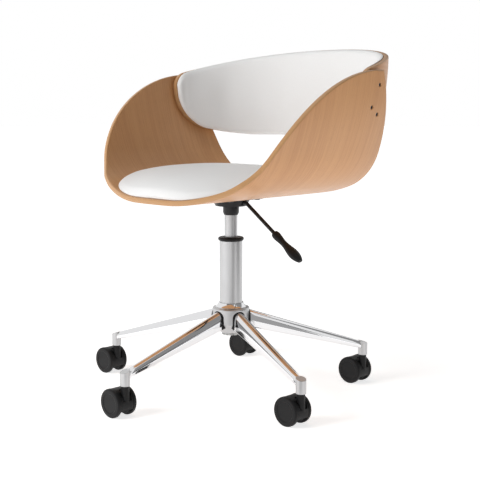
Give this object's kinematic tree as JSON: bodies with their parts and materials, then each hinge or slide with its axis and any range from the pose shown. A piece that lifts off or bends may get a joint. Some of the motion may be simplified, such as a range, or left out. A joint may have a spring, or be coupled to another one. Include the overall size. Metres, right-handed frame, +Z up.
{
  "type": "swivel office chair",
  "caption": "Swivel chair with a bent-plywood bucket seat, wrap-round padded backrest, gas lift with side lever, and chromed star base on twin-wheel castors.",
  "frame": {"origin": "on the floor, on the axis of the column", "axes": "+Z up along the column, the sitter faces -Y, +X is the sitter's left"},
  "size_m": [0.6324, 0.6578, 0.7515],
  "materials": {
    "veneer": "satin",
    "pad_cover": "satin",
    "chrome": "polished",
    "black_plastic": "satin",
    "black_paint": "satin",
    "steel": "satin",
    "dark_steel": "satin",
    "guide_plastic": "matte"
  },
  "bodies": {
    "base": {"hub": "chrome", "hub_cap": "steel", "column_tube": "chrome", "column_ring": "black_plastic", "guide_bush": "guide_plastic", "thrust_bearing": "steel", "leg_1": "chrome", "leg_2": "chrome", "leg_3": "chrome", "leg_4": "chrome", "leg_5": "chrome", "castor_socket_1": "chrome", "castor_socket_2": "chrome", "castor_socket_3": "chrome", "castor_socket_4": "chrome", "castor_socket_5": "chrome"},
    "lift_rod": {"piston_rod": "steel", "piston_head": "guide_plastic", "retaining_clip": "steel"},
    "seat": {"pressure_tube": "chrome", "tube_seal": "guide_plastic", "taper_socket": "black_paint", "seat_plate": "black_paint", "lever_pin": "steel", "seat_shell": "veneer", "backrest_shell": "veneer", "seat_pad": "pad_cover", "back_pad": "pad_cover", "backrest_screws": "dark_steel", "plate_bolts": "dark_steel", "tee_nuts": "steel"},
    "button": {"release_button": "steel"},
    "lever": {"lever_rod": "black_paint", "lever_grip": "black_plastic"},
    "castor_1": {"castor_stem_1": "steel", "castor_hood_1": "black_plastic", "castor_axle_1": "steel"},
    "wheel_left_1": {"castor_wheel_left_1": "black_plastic"},
    "wheel_right_1": {"castor_wheel_right_1": "black_plastic"},
    "castor_2": {"castor_stem_2": "steel", "castor_hood_2": "black_plastic", "castor_axle_2": "steel"},
    "wheel_left_2": {"castor_wheel_left_2": "black_plastic"},
    "wheel_right_2": {"castor_wheel_right_2": "black_plastic"},
    "castor_3": {"castor_stem_3": "steel", "castor_hood_3": "black_plastic", "castor_axle_3": "steel"},
    "wheel_left_3": {"castor_wheel_left_3": "black_plastic"},
    "wheel_right_3": {"castor_wheel_right_3": "black_plastic"},
    "castor_4": {"castor_stem_4": "steel", "castor_hood_4": "black_plastic", "castor_axle_4": "steel"},
    "wheel_left_4": {"castor_wheel_left_4": "black_plastic"},
    "wheel_right_4": {"castor_wheel_right_4": "black_plastic"},
    "castor_5": {"castor_stem_5": "steel", "castor_hood_5": "black_plastic", "castor_axle_5": "steel"},
    "wheel_left_5": {"castor_wheel_left_5": "black_plastic"},
    "wheel_right_5": {"castor_wheel_right_5": "black_plastic"}
  },
  "joints": [
    {"name": "seat_swivel", "type": "hinge", "parent": "base", "child": "lift_rod", "pos_m": [0, 0, 0.146], "axis": [0, 0, 1], "continuous": true},
    {"name": "seat_lift", "type": "slide", "parent": "lift_rod", "child": "seat", "axis": [0, 0, 1], "range_m": [-0.044, 0.056]},
    {"name": "lever_lift", "type": "hinge", "parent": "seat", "child": "lever", "pos_m": [0.024, 0, 0.4165], "axis": [0, -1, 0], "range_deg": [0, 5]},
    {"name": "button_press", "type": "slide", "parent": "seat", "child": "button", "axis": [0, 0, -1], "range_m": [0, 0.0025]},
    {"name": "castor_swivel_1", "type": "hinge", "parent": "base", "child": "castor_1", "pos_m": [0, -0.3, 0.067], "axis": [0, 0, 1], "continuous": true},
    {"name": "wheel_roll_left_1", "type": "hinge", "parent": "castor_1", "child": "wheel_left_1", "pos_m": [-0.021, -0.3, 0.03], "axis": [0, 1, 0], "continuous": true},
    {"name": "wheel_roll_right_1", "type": "hinge", "parent": "castor_1", "child": "wheel_right_1", "pos_m": [-0.021, -0.3, 0.03], "axis": [0, 1, 0], "continuous": true},
    {"name": "castor_swivel_2", "type": "hinge", "parent": "base", "child": "castor_2", "pos_m": [0.28532, -0.09271, 0.067], "axis": [0, 0, 1], "continuous": true},
    {"name": "wheel_roll_left_2", "type": "hinge", "parent": "castor_2", "child": "wheel_left_2", "pos_m": [0.26432, -0.09271, 0.03], "axis": [0, 1, 0], "continuous": true},
    {"name": "wheel_roll_right_2", "type": "hinge", "parent": "castor_2", "child": "wheel_right_2", "pos_m": [0.26432, -0.09271, 0.03], "axis": [0, 1, 0], "continuous": true},
    {"name": "castor_swivel_3", "type": "hinge", "parent": "base", "child": "castor_3", "pos_m": [0.17634, 0.24271, 0.067], "axis": [0, 0, 1], "continuous": true},
    {"name": "wheel_roll_left_3", "type": "hinge", "parent": "castor_3", "child": "wheel_left_3", "pos_m": [0.15534, 0.24271, 0.03], "axis": [0, 1, 0], "continuous": true},
    {"name": "wheel_roll_right_3", "type": "hinge", "parent": "castor_3", "child": "wheel_right_3", "pos_m": [0.15534, 0.24271, 0.03], "axis": [0, 1, 0], "continuous": true},
    {"name": "castor_swivel_4", "type": "hinge", "parent": "base", "child": "castor_4", "pos_m": [-0.17634, 0.24271, 0.067], "axis": [0, 0, 1], "continuous": true},
    {"name": "wheel_roll_left_4", "type": "hinge", "parent": "castor_4", "child": "wheel_left_4", "pos_m": [-0.19734, 0.24271, 0.03], "axis": [0, 1, 0], "continuous": true},
    {"name": "wheel_roll_right_4", "type": "hinge", "parent": "castor_4", "child": "wheel_right_4", "pos_m": [-0.19734, 0.24271, 0.03], "axis": [0, 1, 0], "continuous": true},
    {"name": "castor_swivel_5", "type": "hinge", "parent": "base", "child": "castor_5", "pos_m": [-0.28532, -0.09271, 0.067], "axis": [0, 0, 1], "continuous": true},
    {"name": "wheel_roll_left_5", "type": "hinge", "parent": "castor_5", "child": "wheel_left_5", "pos_m": [-0.30632, -0.09271, 0.03], "axis": [0, 1, 0], "continuous": true},
    {"name": "wheel_roll_right_5", "type": "hinge", "parent": "castor_5", "child": "wheel_right_5", "pos_m": [-0.30632, -0.09271, 0.03], "axis": [0, 1, 0], "continuous": true}
  ],
  "couplings": [
    {"joint": "button_press", "follows": "lever_lift", "m_per_rad": 0.024}
  ]
}
